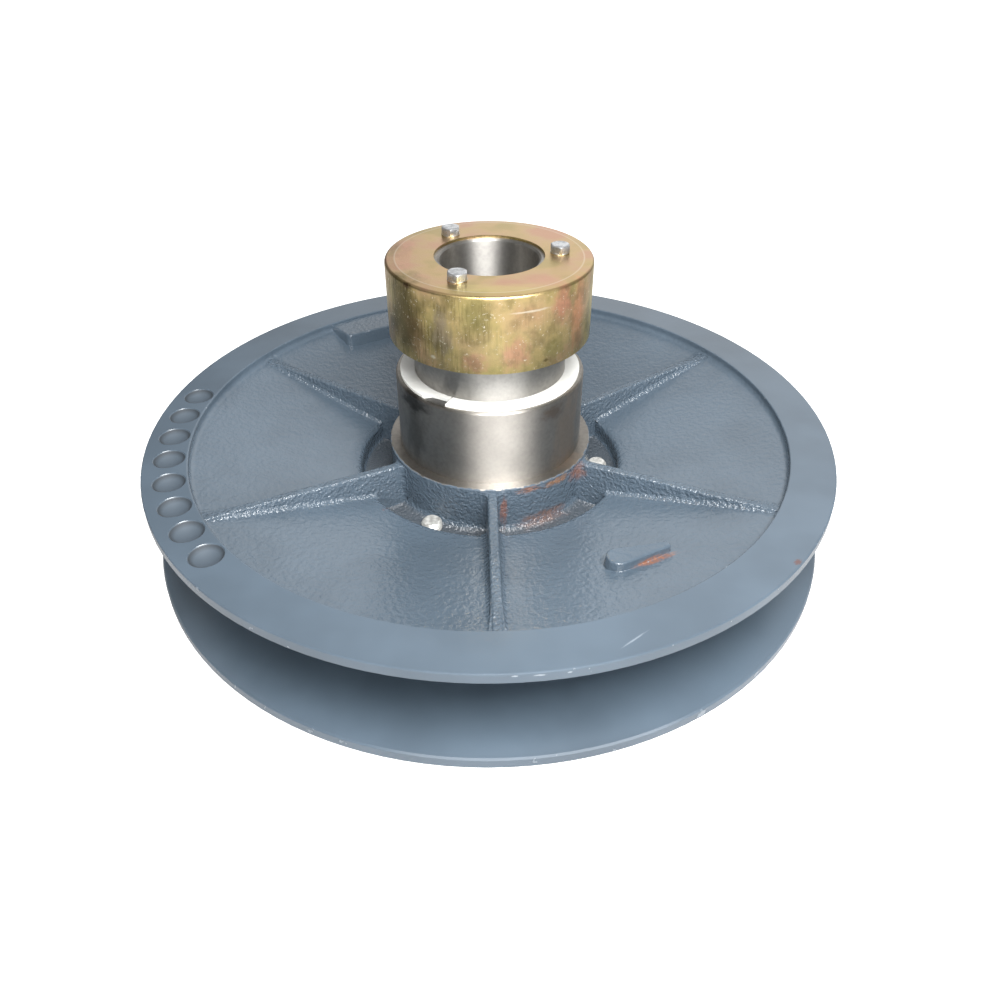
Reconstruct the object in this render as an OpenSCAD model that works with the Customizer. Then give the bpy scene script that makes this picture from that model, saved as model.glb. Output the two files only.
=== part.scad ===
// Variable speed pulley: a fixed half sheave with its hub tube, a moving half sheave that
// slides along the tube on plastic bushes, and a pressed steel cup over the end of the tube.
// The axis is Z and the pulley stands on the rim of the fixed half, with the groove closed.

/* [Belt groove] */
// Outside diameter of both half sheaves
sheave_d = 404; // [380:1:440]
// Slope of each belt face, in degrees
face_angle = 12; // [11:0.5:13]
// Height of the straight edge of each rim
rim_edge = 6.2; // [5:0.1:8]
// Gap left between the belt faces at their inner ends with the groove closed
closed_gap = 0.9; // [0.5:0.1:3]
// Travel of the moving half from closed to open
travel = 40; // [25:1:44]

/* [Castings] */
// Thickness of the conical web
web_t = 5.6; // [4.5:0.1:7]
// Radial width of the flat ring on each rim
ring_w = 25; // [20:0.5:30]
// Number of ribs on each half
rib_count = 6; // [4:1:8]
// Thickness of a rib at its top
rib_t = 5.4; // [4:0.1:8]
// Depth of the rib tops below the rim face, at the rim
rib_drop = 4.8; // [3:0.1:6]
// Width of the sunk ring around the hub of the moving half
well_w = 18.6; // [16:0.1:24]
// Thickness of the floor of that sunk ring
well_floor_t = 7; // [6:0.5:10]
// Wall between the sunk ring and the outside of the boss below it
boss_wall = 4; // [3:0.5:6]
// Room around the boss where it dips into the fixed half
boss_room = 2; // [1.5:0.1:4]
// Thickness of the floor around the hub of the fixed half
hub_floor_t = 9.3; // [8:0.1:14]
// Wall of the fixed half around the space for the boss
pit_wall_t = 7; // [5:0.5:10]

/* [Hub] */
// Bore for the shaft
bore_d = 55; // [50:1:58]
// Width of the keyway in the bore
key_w = 16; // [12:1:16]
// Depth of the keyway in the bore
key_depth = 4.3; // [3:0.1:5]
// Wall of the hub tube
tube_wall = 16.5; // [15:0.5:20]
// Length of the hub tube from the rim plane to its end face
tube_l = 165.4; // [160:0.2:190]
// Width of each drive groove along the tube
groove_w = 14; // [10:1:16]
// Depth of each drive groove
groove_depth = 5; // [3:0.5:6]

/* [Moving hub] */
// Wall of each plastic bush
bush_wall = 8.4; // [6:0.1:10]
// Length of the upper bush
upper_bush_l = 24.5; // [18:0.5:30]
// Length of the lower bush
lower_bush_l = 24; // [16:0.5:24]
// How far the upper bush stands out of the hub
bush_proud = 1.5; // [0.5:0.1:3]
// Wall of the bearing journal around the upper bush
journal_wall = 2.5; // [2:0.1:4]
// Length of the bearing journal
journal_l = 45.8; // [40:0.2:48]
// Step of the shoulder outside the journal
shoulder_step = 6.3; // [4:0.1:8]
// Depth of the shoulder below the rim face
shoulder_drop = 9.9; // [8:0.1:12]

/* [End cup] */
// Sheet thickness of the cup
cup_t = 1.5; // [1:0.1:2]
// Height of the cup
cup_h = 43; // [30:0.5:50]
// Diameter of the hole in the top of the cup
cup_hole_d = 60.7; // [59:0.1:64]
// Outer corner radius of the cup
cup_corner = 1.7; // [1.6:0.1:3]
// Width of the slightly dished band along the edge of its top
cup_band = 5.5; // [4.5:0.1:8]

/* [Fasteners] */
// Thread diameter of the screws that hold the cup
cup_screw_d = 6; // [5:1:8]
// Radius of the circle of the cup screws
cup_screw_r = 38.8; // [37.5:0.1:39.5]
// Thread diameter of the screws that hold the drive ring
drive_screw_d = 12; // [10:1:12]
// Thickness of the drive ring
drive_ring_t = 8; // [7:0.5:12]
// How far the ends of those screws stand out of the sunk ring
drive_screw_proud = 5.1; // [2:0.1:6]

/* [Marks] */
// Diameter of the balance drillings in the rim
dimple_d = 18.2; // [12:0.1:20]
// Number of balance drillings
dimple_count = 8; // [1:1:12]
// Length of the raised lug on the web, between its end centres
lug_l = 26.5; // [15:0.5:35]
// Height of the raised lug above the web at its centre
lug_h = 6; // [2:0.5:8]

/* [Hidden] */
$fn = 96;

// Clearances
run_clear = 0.05;
seat_clear = 0.05;
hole_clear = 0.05;
stop_gap = 0.3;
groove_clear = 0.2;
groove_step = 1;
cup_clear = 0.5;
tube_room = 2;
key_end_clear = 0.4;
key_root = 4;

// Radii from the shaft outwards
sheave_r = sheave_d / 2;
bore_r = bore_d / 2;
tube_r = bore_r + tube_wall;
bush_in_r = tube_r + run_clear;
bush_out_r = bush_in_r + bush_wall;
bush_seat_r = bush_out_r + seat_clear;
hub_bore_r = tube_r + tube_room;
journal_r = bush_seat_r + journal_wall;
shoulder_r = journal_r + shoulder_step;
lip_r = shoulder_r + well_w;
boss_r = lip_r + boss_wall;
pit_r = boss_r + boss_room;
pit_out_r = pit_r + pit_wall_t;
ring_in_r = sheave_r - ring_w;

// Heights of the fixed half, from the plane it stands on
face_slope = tan(face_angle);
web_h = web_t / cos(face_angle);
function low_face(r) = rim_edge + face_slope * (sheave_r - r);

// Heights of the moving half, at rest on its stop
rim_top = 2 * low_face(pit_r) + closed_gap;
function high_face(r) = rim_top - low_face(r);
function web_top(r) = high_face(r) + web_h;
ring_low = hub_floor_t + stop_gap;
boss_low = ring_low + drive_ring_t;
well_floor = boss_low + well_floor_t;
shoulder_z = rim_top - shoulder_drop;
journal_top = shoulder_z + journal_l;
upper_seat_z = journal_top + bush_proud - upper_bush_l;
lower_seat_z = boss_low + lower_bush_l;
groove_low = hub_floor_t + groove_step;
key_low = groove_low + stop_gap;
key_top = boss_low - groove_step;
groove_top = key_top + travel + stop_gap;

// Edges and fillets
edge_r = 0.8;
bore_chamfer = 1;
wall_fillet = 3.2;
hub_fillet = 5;
lip_round = 3.5;
bore_lead = 1;

// Ribs
rib_draft = 1.2;
rib_draft_depth = 20;
rib_round = 1.3;
rib_fillet = 4;
rib_ease = 0.6;
rib_sink = 2;
rib_in_r = bush_out_r + rib_sink;
rib_out_r = ring_in_r + rib_sink / 2;
rib_step = 2.7;
rib_in_z = shoulder_z - rib_step;
rib_out_z = rim_top - rib_drop;
rib_low_z = rib_drop;

// Cup and its screws
cup_in_r = journal_r + cup_clear;
cup_out_r = cup_in_r + cup_t;
cup_top = tube_l + cup_t;
cup_dish = 0.3;
cup_screw_angles = [4, 124, 244];
cup_screw_l = 16;
hex_turn = 26;
hex_flats = 5 / 3 * cup_screw_d;
hex_face_d = 0.95 * hex_flats;
hex_h = 0.7 * cup_screw_d;
washer_face = 0.5;

// Drive ring and its screws
drive_out_r = boss_r - boss_room;
key_in_r = tube_r - groove_depth + key_end_clear;
drive_angle = -1;
drive_screw_gap = 0.4;
drive_screw_r = shoulder_r + drive_screw_d / 2 + drive_screw_gap;
drive_head_r = drive_screw_d;
drive_head_h = drive_screw_d / 2;
drive_top = well_floor + drive_screw_proud;
end_chamfer = 1;
socket_flats = 0.6 * drive_screw_d;
socket_depth = 3;

// Bush slit and notch
slit_angle = -119;
slit_w = 0.8;
notch_l = 11;
notch_run = 6;
notch_depth = 5.4;
notch_h = 1.8;

// Marks of the casting and of balancing
dimple_inset = 14.7;
dimple_r = sheave_r - dimple_inset;
dimple_start = 170.7;
dimple_step = 7.24;
dimple_depth = 4.2;
dimple_ball = (pow(dimple_d / 2, 2) + pow(dimple_depth, 2)) / (2 * dimple_depth);
dimple_rise = dimple_ball - dimple_depth;
pad_w = 23;
pad_in_r = ring_in_r - pad_w;
pad_drop = 1.6;
pad_start = 109.5;
pad_sweep = 21;
lug_pos = [75, -115.4];
lug_turn = 18.6;
lug_wide_r = 6.5;
lug_narrow_r = 2.6;
lug_foot = 0.9;
pad_corner = 3.5;
post_round = 1.2;
post_draft = 0.12;

// Points of an arc from angle a to angle b around [x, y]
function arc(x, y, r, a, b, n = 6) =
    [for (i = [0:n]) let(t = a + (b - a) * i / n) [x + r * cos(t), y + r * sin(t)]];

// Copies of the children at equal angles around the axis
module around(count, start = 0) {
    for (i = [0:count - 1]) rotate(start + 360 * i / count) children();
}

// Section of the moving half
function moving_section() = concat(
    [[bush_seat_r + bore_lead, boss_low], [boss_r - edge_r, boss_low], [boss_r, boss_low + edge_r]],
    [[boss_r, high_face(boss_r)], [sheave_r - edge_r, high_face(sheave_r - edge_r)]],
    [[sheave_r, high_face(sheave_r) + edge_r]],
    arc(sheave_r - edge_r, rim_top - edge_r, edge_r, 0, 90, 3),
    arc(ring_in_r + edge_r, rim_top - edge_r, edge_r, 90, 180, 3),
    arc(ring_in_r - wall_fillet, web_top(ring_in_r) + wall_fillet, wall_fillet, 0, face_angle - 90),
    arc(lip_r + lip_round, web_top(lip_r + lip_round) - lip_round / cos(face_angle), lip_round,
        90 + face_angle, 180, 5),
    arc(lip_r - wall_fillet, well_floor + wall_fillet, wall_fillet, 0, -90, 4),
    arc(shoulder_r + hub_fillet, well_floor + hub_fillet, hub_fillet, -90, -180),
    arc(shoulder_r - edge_r, shoulder_z - edge_r, edge_r, 0, 90, 3),
    [[journal_r, shoulder_z], [journal_r, journal_top - edge_r]],
    [[journal_r - edge_r, journal_top], [bush_seat_r, journal_top]],
    [[bush_seat_r, upper_seat_z], [hub_bore_r, upper_seat_z]],
    [[hub_bore_r, lower_seat_z], [bush_seat_r, lower_seat_z], [bush_seat_r, boss_low + bore_lead]]);

// Section of the fixed half with its hub tube
function fixed_section() = concat(
    [[bore_r + bore_chamfer, 0], [pit_out_r - edge_r, 0], [pit_out_r, edge_r]],
    arc(pit_out_r + wall_fillet, low_face(pit_out_r) - web_h - 2 * wall_fillet, wall_fillet,
        180, 90 - face_angle),
    arc(ring_in_r - wall_fillet, low_face(ring_in_r) - web_h - wall_fillet, wall_fillet, 90 - face_angle, 0),
    arc(ring_in_r + edge_r, edge_r, edge_r, 180, 270, 3),
    arc(sheave_r - edge_r, edge_r, edge_r, -90, 0, 3),
    [[sheave_r, low_face(sheave_r) - edge_r], [sheave_r - edge_r, low_face(sheave_r - edge_r)]],
    [[pit_r + edge_r, low_face(pit_r + edge_r)], [pit_r, low_face(pit_r) - edge_r], [pit_r, hub_floor_t]],
    [[tube_r, hub_floor_t], [tube_r, tube_l - edge_r], [tube_r - edge_r, tube_l]],
    [[bore_r + bore_chamfer, tube_l], [bore_r, tube_l - bore_chamfer], [bore_r, bore_chamfer]]);

// Section across a rib, standing on the origin's line with its top at zero and widening downwards
module rib_section() {
    depth = rim_top;
    foot = rib_t / 2 + rib_draft * depth / rib_draft_depth;
    polygon(concat(
        [[-foot, -depth], [foot, -depth]],
        arc(rib_t / 2 - rib_round, -rib_round, rib_round, 0, 90, 4),
        arc(rib_round - rib_t / 2, -rib_round, rib_round, 90, 180, 4)));
}

// A bar with the rib's section whose top runs from the hub to the rim
module rib_bar(in_z, out_z) {
    run = rib_out_r - rib_in_r;
    rise = out_z - in_z;
    reach = 10;
    translate([rib_in_r, 0, in_z]) rotate([0, -atan2(rise, run), 0]) translate([-reach, 0, 0])
        rotate([90, 0, 90]) linear_extrude(norm([run, rise]) + 2 * reach) rib_section();
}

// Hollow fillets on both sides of a rib, flared towards the line at zero
module fillet_section() {
    foot = rib_t / 2 + rib_fillet;
    polygon(concat(
        [[-foot, -rib_sink], [foot, -rib_sink]],
        arc(foot, rib_fillet, rib_fillet, 270, 180, 5),
        arc(-foot, rib_fillet, rib_fillet, 0, -90, 5)));
}

// A bar with that section along the web, from radius a to radius b
module fillet_bar(a, b) {
    rise = face_slope * (b - a);
    translate([a, 0, web_top(a)]) rotate([0, -face_angle, 0])
        rotate([90, 0, 90]) linear_extrude(norm([b - a, rise])) fillet_section();
}

// The same along the floor of the sunk ring
module fillet_floor_bar() {
    translate([shoulder_r - rib_sink, 0, well_floor]) rotate([90, 0, 90])
        linear_extrude(well_w + 2 * rib_sink) fillet_section();
}

// An upright with that section where a rib meets a wall of radius r
module fillet_post(r) {
    translate([r, 0, 0]) linear_extrude(rim_top) rotate(-90) fillet_section();
}

// Room under the tops of the ribs, eased so that the fillets stay below their edges
module rib_shade() {
    rotate_extrude() polygon([[rib_in_r, boss_low + rib_sink], [rib_out_r, boss_low + rib_sink],
        [rib_out_r, rib_out_z - rib_ease], [rib_in_r, rib_in_z - rib_ease]]);
}

// Room that the ribs of the moving half fill, above its web and inside its rim
module rib_room() {
    rotate_extrude() polygon([[rib_in_r, boss_low + rib_sink], [lip_r + rib_sink, boss_low + rib_sink],
        [lip_r + rib_sink, high_face(lip_r) + rib_sink], [rib_out_r, high_face(rib_out_r) + rib_sink],
        [rib_out_r, rim_top], [rib_in_r, rim_top]]);
}

// The same room under the web of the fixed half
module low_rib_room() {
    rotate_extrude() polygon([[pit_out_r - rib_sink, 0], [rib_out_r, 0],
        [rib_out_r, low_face(rib_out_r) - rib_sink], [pit_out_r - rib_sink, low_face(pit_out_r) - rib_sink]]);
}

// Post of radius r from height low up to zero, widening downwards, with a round top edge
module round_post(r, low) {
    rotate_extrude($fn = 32) polygon(concat(
        [[0, low], [r - low * post_draft, low]],
        arc(r - post_round, -post_round, post_round, 0, 90, 3),
        [[0, 0]]));
}

// Oblong lug, wider at one end, that stands on the web with a flared foot
module web_lug() {
    lug_angle = atan2(lug_pos[1], lug_pos[0]);
    ends = [[-lug_l / 2, lug_wide_r], [lug_l / 2, lug_narrow_r]];
    translate([lug_pos[0], lug_pos[1], web_top(norm(lug_pos))]) {
        rotate(lug_turn) translate([0, 0, lug_h]) hull() for (e = ends)
            translate([e[0], 0, 0]) round_post(e[1], -lug_h - web_t / 2);
        rotate(lug_angle) rotate([0, -face_angle, 0]) rotate(lug_turn - lug_angle)
            translate([0, 0, -lug_foot]) hull() for (e = ends) translate([e[0], 0, 0])
                cylinder(h = 2 * lug_foot, r1 = e[1] + 3 * lug_foot, r2 = e[1] + lug_foot / 2, $fn = 32);
    }
}

// Raised pad that grows inwards from the wall of the rim
module rim_pad() {
    pad_low = high_face(pad_in_r) + web_t / 2 - rim_top + pad_drop;
    inset = asin(pad_corner / pad_in_r);
    translate([0, 0, rim_top - pad_drop]) hull()
        for (a = [pad_start + inset, pad_start + pad_sweep - inset]) rotate(a) {
            translate([pad_in_r + pad_corner, 0, 0]) round_post(pad_corner, pad_low);
            translate([ring_in_r + pad_corner, 0, 0]) round_post(pad_corner, pad_low);
        }
}

// Balance drillings, dished by a round-nosed cutter in the rim face
module balance_drillings() {
    for (i = [0:dimple_count - 1])
        rotate(dimple_start + dimple_step * i) translate([dimple_r, 0, rim_top + dimple_rise])
            rotate([90, 0, 0]) sphere(dimple_ball);
}

module fixed_sheave() color("slategray") difference() {
    union() {
        rotate_extrude() polygon(fixed_section());
        intersection() {
            low_rib_room();
            around(rib_count, -90) mirror([0, 0, 1]) rib_bar(-rib_low_z, -rib_low_z);
        }
    }
    // Keyway for the shaft, along the whole bore
    translate([-key_w / 2, -bore_r - key_depth, -1]) cube([key_w, bore_r + key_depth, tube_l + 2]);
    // Grooves for the keys of the drive ring
    around(3, drive_angle + 60) translate([tube_r - groove_depth, -groove_w / 2, groove_low])
        cube([2 * groove_depth, groove_w, groove_top - groove_low]);
    for (a = cup_screw_angles) rotate(a) translate([cup_screw_r, 0, tube_l - cup_screw_l])
        cylinder(h = cup_screw_l + 1, d = cup_screw_d + 2 * hole_clear);
}

module moving_sheave() color("slategray") difference() {
    union() {
        rotate_extrude() polygon(moving_section());
        intersection() {
            rib_room();
            around(rib_count, -90) rib_bar(rib_in_z, rib_out_z);
        }
        intersection() {
            rib_room();
            rib_shade();
            around(rib_count, -90) {
                fillet_bar(lip_r, rib_out_r);
                fillet_floor_bar();
                fillet_post(shoulder_r);
            }
        }
        rim_pad();
        web_lug();
    }
    balance_drillings();
    around(3, drive_angle) translate([drive_screw_r, 0, boss_low - 1])
        cylinder(h = drive_top, d = drive_screw_d + 2 * hole_clear);
}

// Plastic bush, split along its length so that it springs into its seat
module split_bush(low_z, length) difference() {
    translate([0, 0, low_z]) difference() {
        cylinder(h = length, r = bush_out_r);
        translate([0, 0, -1]) cylinder(h = length + 2, r = bush_in_r);
    }
    rotate(slit_angle) translate([0, -slit_w / 2, low_z - 1]) cube([2 * bush_out_r, slit_w, length + 2]);
}

module upper_bush() color("white") difference() {
    split_bush(upper_seat_z, upper_bush_l);
    // Notch beside the slit, in the outer half of the end face
    rotate(slit_angle) translate([bush_out_r - notch_depth, 0, journal_top + bush_proud - notch_h])
        linear_extrude(notch_h + 1) polygon([[0, 0], [0, -notch_l], [notch_depth, -notch_l - notch_run],
            [2 * notch_depth, -notch_l - notch_run], [2 * notch_depth, 0]]);
}

module lower_bush() color("white") split_bush(boss_low, lower_bush_l);

// Hole for a screw with a sunk head, open downwards
module sunk_hole() {
    room = 2 * hole_clear;
    translate([0, 0, -1]) cylinder(h = drive_ring_t + 2, d = drive_screw_d + room);
    cylinder(h = drive_head_h, r1 = drive_head_r + room, r2 = drive_screw_d / 2 + room);
}

module drive_ring() color("dimgray") translate([0, 0, ring_low]) difference() {
    union() {
        difference() {
            cylinder(h = drive_ring_t, r = drive_out_r);
            translate([0, 0, -1]) cylinder(h = drive_ring_t + 2, r = hub_bore_r);
        }
        // Keys that run in the grooves of the tube
        around(3, drive_angle + 60) translate([key_in_r, groove_clear - groove_w / 2, key_low - ring_low])
            cube([hub_bore_r + key_root - key_in_r, groove_w - 2 * groove_clear, key_top - key_low]);
    }
    around(3, drive_angle) translate([drive_screw_r, 0, 0]) sunk_hole();
}

module drive_screws() color("gainsboro") around(3, drive_angle) translate([drive_screw_r, 0, ring_low])
    difference() {
        union() {
            cylinder(h = drive_head_h, r1 = drive_head_r, r2 = drive_screw_d / 2);
            cylinder(h = drive_top - ring_low - end_chamfer, d = drive_screw_d);
            translate([0, 0, drive_top - ring_low - end_chamfer])
                cylinder(h = end_chamfer, d1 = drive_screw_d, d2 = drive_screw_d - 2 * end_chamfer);
        }
        translate([0, 0, -1]) cylinder(h = socket_depth + 1, d = socket_flats / cos(30), $fn = 6);
    }

module end_cup() color("darkkhaki") difference() {
    band_r = cup_out_r - cup_band;
    shelf = cup_top - cup_dish;
    rotate_extrude() polygon(concat(
        [[cup_in_r, cup_top - cup_h], [cup_out_r, cup_top - cup_h]],
        arc(cup_out_r - cup_corner, shelf - cup_corner, cup_corner, 0, 90),
        [[band_r, cup_top], [cup_hole_d / 2, cup_top], [cup_hole_d / 2, tube_l], [band_r, tube_l]],
        arc(cup_out_r - cup_corner, shelf - cup_corner, cup_corner - cup_t, 90, 0, 4)));
    for (a = cup_screw_angles) rotate(a) translate([cup_screw_r, 0, tube_l - 1])
        cylinder(h = cup_t + 2, d = cup_screw_d + 4 * hole_clear);
}

// Hexagon screw with a washer face, its head standing on the origin
module hex_screw() {
    head_h = washer_face + hex_h;
    translate([0, 0, cup_t - cup_screw_l]) cylinder(h = cup_screw_l - cup_t, d = cup_screw_d);
    cylinder(h = washer_face, d = hex_face_d);
    // Hexagon head with its corners turned off at the top
    intersection() {
        translate([0, 0, washer_face]) cylinder(h = hex_h, d = hex_flats / cos(30), $fn = 6);
        cylinder(h = head_h, d1 = hex_face_d + 2 * head_h / tan(30), d2 = hex_face_d);
    }
}

module cup_screws() color("gainsboro") for (a = cup_screw_angles)
    rotate(a) translate([cup_screw_r, 0, cup_top]) rotate(hex_turn) hex_screw();

fixed_sheave();
moving_sheave();
upper_bush();
lower_bush();
drive_ring();
drive_screws();
end_cup();
cup_screws();
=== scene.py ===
"""Variable speed pulley: enamelled castings, turned steel, nylon bushes, a plated cup and its screws."""

import math

import bpy
from bpy.props import FloatProperty, FloatVectorProperty, PointerProperty
from mathutils import Matrix, Vector


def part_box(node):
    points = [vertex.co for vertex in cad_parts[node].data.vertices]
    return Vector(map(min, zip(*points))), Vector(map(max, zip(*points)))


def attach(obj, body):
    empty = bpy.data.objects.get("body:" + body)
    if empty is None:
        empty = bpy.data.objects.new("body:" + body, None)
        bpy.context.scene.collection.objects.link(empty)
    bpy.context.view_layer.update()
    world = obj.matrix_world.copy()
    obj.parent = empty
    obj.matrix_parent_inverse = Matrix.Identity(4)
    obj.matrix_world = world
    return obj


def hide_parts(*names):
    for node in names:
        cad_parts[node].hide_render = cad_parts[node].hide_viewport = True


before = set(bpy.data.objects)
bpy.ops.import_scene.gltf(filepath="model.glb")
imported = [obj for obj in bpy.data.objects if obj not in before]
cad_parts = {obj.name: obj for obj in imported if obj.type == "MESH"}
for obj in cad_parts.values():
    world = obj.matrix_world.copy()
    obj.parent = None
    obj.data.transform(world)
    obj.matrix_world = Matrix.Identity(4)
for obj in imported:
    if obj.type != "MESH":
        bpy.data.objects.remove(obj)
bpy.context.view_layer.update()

bl_info = {
    "name": "Variable speed pulley",
    "version": (1, 0, 0),
    "blender": (4, 5, 0),
    "location": "3D View > Sidebar > Pulley",
    "description": "Paints, plates, screws together and lights the variable speed pulley",
    "category": "Object",
}

MM = 0.001
SLIVER = 0.004 * MM

# Landmarks of the castings, in millimetres
RIM_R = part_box("moving_sheave")[1].x / MM
RING_IN_R = RIM_R - 25
JOURNAL_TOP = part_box("moving_sheave")[1].z / MM
SHOULDER_Z = JOURNAL_TOP - 45.8
RIM_TOP = SHOULDER_Z + 9.9
SHOULDER_R = 61.3
LIP_R = 79.9
WELL_FLOOR = 24.6
TUBE_R = 44.0
BORE_R = 27.5
RIB_ANGLES = (-90, -30, 30)

# Landmarks of the bush, the cup and the screws, in millimetres
BUSH_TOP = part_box("upper_bush")[1].z / MM
CUP_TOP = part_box("end_cup")[1].z / MM
CUP_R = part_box("end_cup")[1].x / MM
CUP_SCREW_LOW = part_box("cup_screws")[0].z / MM
DRIVE_SCREW_LOW, DRIVE_SCREW_TOP = (corner.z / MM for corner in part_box("drive_screws"))


def linear(hex_colour):
    """Linear RGBA of an sRGB hex colour."""
    parts = [int(hex_colour[i:i + 2], 16) / 255 for i in (1, 3, 5)]
    return [c / 12.92 if c <= 0.04045 else ((c + 0.055) / 1.055) ** 2.4 for c in parts] + [1.0]


def add(tree, kind, inputs=None, out=0, **settings):
    """Adds a node with its settings, sets or links its inputs, and returns one of its outputs, if it has any."""
    made = tree.nodes.new("ShaderNode" + kind)
    for key, value in settings.items():
        setattr(made, key, value)
    for key, value in (inputs or {}).items():
        if isinstance(value, bpy.types.NodeSocket):
            tree.links.new(value, made.inputs[key])
        else:
            made.inputs[key].default_value = value
    return made.outputs[out] if made.outputs else None


def new_finish(name):
    """Empty material with its node tree and the piece's own coordinates."""
    material = bpy.data.materials.new(name)
    material.use_nodes = True
    tree = material.node_tree
    tree.nodes.clear()
    return material, tree, add(tree, "TexCoord", out="Object")


def lie(tree, place):
    """Distance from the axis, height, and how far the surface faces up."""
    flat = add(tree, "VectorMath", {0: place, 1: (1, 1, 0)}, operation="MULTIPLY")
    radius = add(tree, "VectorMath", {0: flat}, "Value", operation="LENGTH")
    height = add(tree, "SeparateXYZ", {0: place}, "Z")
    up = add(tree, "SeparateXYZ", {0: add(tree, "NewGeometry", out="Normal")}, "Z")
    return radius, height, up


def grains(tree, place, size, low, high, detail=3.0, rough=0.5, stretch=(1, 1, 1)):
    """Mask of grains about that many millimetres across, drawn where a noise passes from low to high."""
    finer = add(tree, "Mapping", {"Vector": place, "Scale": [s / (size * MM) for s in stretch]})
    cloud = add(tree, "TexNoise", {"Vector": finer, "Scale": 1.0, "Detail": detail, "Roughness": rough})
    return add(tree, "MapRange", {0: cloud, 1: low, 2: high}, interpolation_type="SMOOTHSTEP")


def within(tree, value, start, end, soft):
    """Mask of a length between start and end, in millimetres, with a soft edge on both sides."""
    rise = add(tree, "MapRange", {0: value, 1: (start - soft) * MM, 2: start * MM})
    fall = add(tree, "MapRange", {0: value, 1: end * MM, 2: (end + soft) * MM, 3: 1.0, 4: 0.0})
    return add(tree, "Math", {0: rise, 1: fall}, operation="MULTIPLY")


def mark(tree, place, centre, size, turn=0.0, ragged=0.6):
    """Soft mark at a centre, as long, wide and high as its size says in millimetres, with a ragged edge."""
    local = add(tree, "Mapping", {
        "Vector": place, "Location": [c * MM for c in centre], "Rotation": (0, 0, math.radians(turn)),
        "Scale": [s / 2 * MM for s in size]}, vector_type="TEXTURE")
    away = add(tree, "VectorMath", {0: local}, "Value", operation="LENGTH")
    torn = add(tree, "TexNoise", {"Vector": local, "Scale": 2.5, "Detail": 4.0})
    edge = add(tree, "Math", {0: torn, 1: 2 * ragged, 2: away}, operation="MULTIPLY_ADD")
    return add(tree, "MapRange", {0: edge, 1: 0.25 + ragged, 2: 1.0 + ragged, 3: 1.0, 4: 0.0},
               interpolation_type="SMOOTHSTEP")


def tinted(tree, place, colour, marks):
    """Colour with marks over it, each given by its centre, size, turn, tint and strength."""
    for centre, size, turn, tint, strength in marks:
        weight = add(tree, "Math", {0: mark(tree, place, centre, size, turn), 1: strength}, operation="MULTIPLY")
        colour = add(tree, "Mix", {0: weight, 6: colour, 7: linear(tint)}, 2, data_type="RGBA")
    return colour


def near_ribs(tree, place, reach):
    """Mask of the ribs and their fillets, up to that many millimetres from their middle planes."""
    nearest = None
    for angle in RIB_ANGLES:
        across = (-math.sin(math.radians(angle)), math.cos(math.radians(angle)), 0)
        offset = add(tree, "VectorMath", {0: place, 1: across}, "Value", operation="DOT_PRODUCT")
        away = add(tree, "Math", {0: offset}, operation="ABSOLUTE")
        nearest = away if nearest is None else add(tree, "Math", {0: nearest, 1: away}, operation="MINIMUM")
    return add(tree, "MapRange", {0: nearest, 1: reach * MM, 2: (reach + 4) * MM, 3: 1.0, 4: 0.0})


class FinishSettings(bpy.types.PropertyGroup):
    """Colours of the finishes."""

    enamel: FloatVectorProperty(name="Enamel", description="Slate grey enamel of both castings",
                                default=linear("#505D69"), size=4, subtype="COLOR")
    iron: FloatVectorProperty(name="Turned iron", description="Bare cast iron of the journal",
                              default=linear("#AEA9A2"), size=4, subtype="COLOR")
    steel: FloatVectorProperty(name="Turned steel", description="Bare steel of the tube and its bore",
                               default=linear("#B4B1AC"), size=4, subtype="COLOR")
    nylon: FloatVectorProperty(name="Nylon", description="Natural white nylon of the bushes",
                               default=linear("#E6E6E2"), size=4, subtype="COLOR")
    zinc: FloatVectorProperty(name="Zinc", description="Bright zinc of the screws",
                              default=linear("#E6E8EA"), size=4, subtype="COLOR")
    gold: FloatVectorProperty(name="Passivate", description="Yellow passivated zinc of the cup",
                              default=linear("#CDB47C"), size=4, subtype="COLOR")


class ScrewSettings(bpy.types.PropertyGroup):
    """Sizes of the screws."""

    drive_d: FloatProperty(name="Drive screw", description="Thread diameter of the drive ring's screws",
                           default=12 * MM, unit="LENGTH")
    drive_pitch: FloatProperty(name="Drive pitch", description="Pitch of that thread", default=1.75 * MM,
                               unit="LENGTH")
    drive_circle: FloatProperty(name="Drive circle", description="Radius of the circle of those screws",
                                default=67.7 * MM, unit="LENGTH")
    drive_start: FloatProperty(name="Drive start", description="Angle of the first of those screws",
                               default=math.radians(-1), subtype="ANGLE")
    cup_d: FloatProperty(name="Cup screw", description="Thread diameter of the cup's screws",
                         default=6 * MM, unit="LENGTH")
    cup_circle: FloatProperty(name="Cup circle", description="Radius of the circle of those screws",
                              default=38.8 * MM, unit="LENGTH")
    cup_start: FloatProperty(name="Cup start", description="Angle of the first of those screws",
                             default=math.radians(4), subtype="ANGLE")
    cup_turn: FloatProperty(name="Head turn", description="Turn of each hexagon head on its own axis",
                            default=math.radians(26), subtype="ANGLE")


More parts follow.
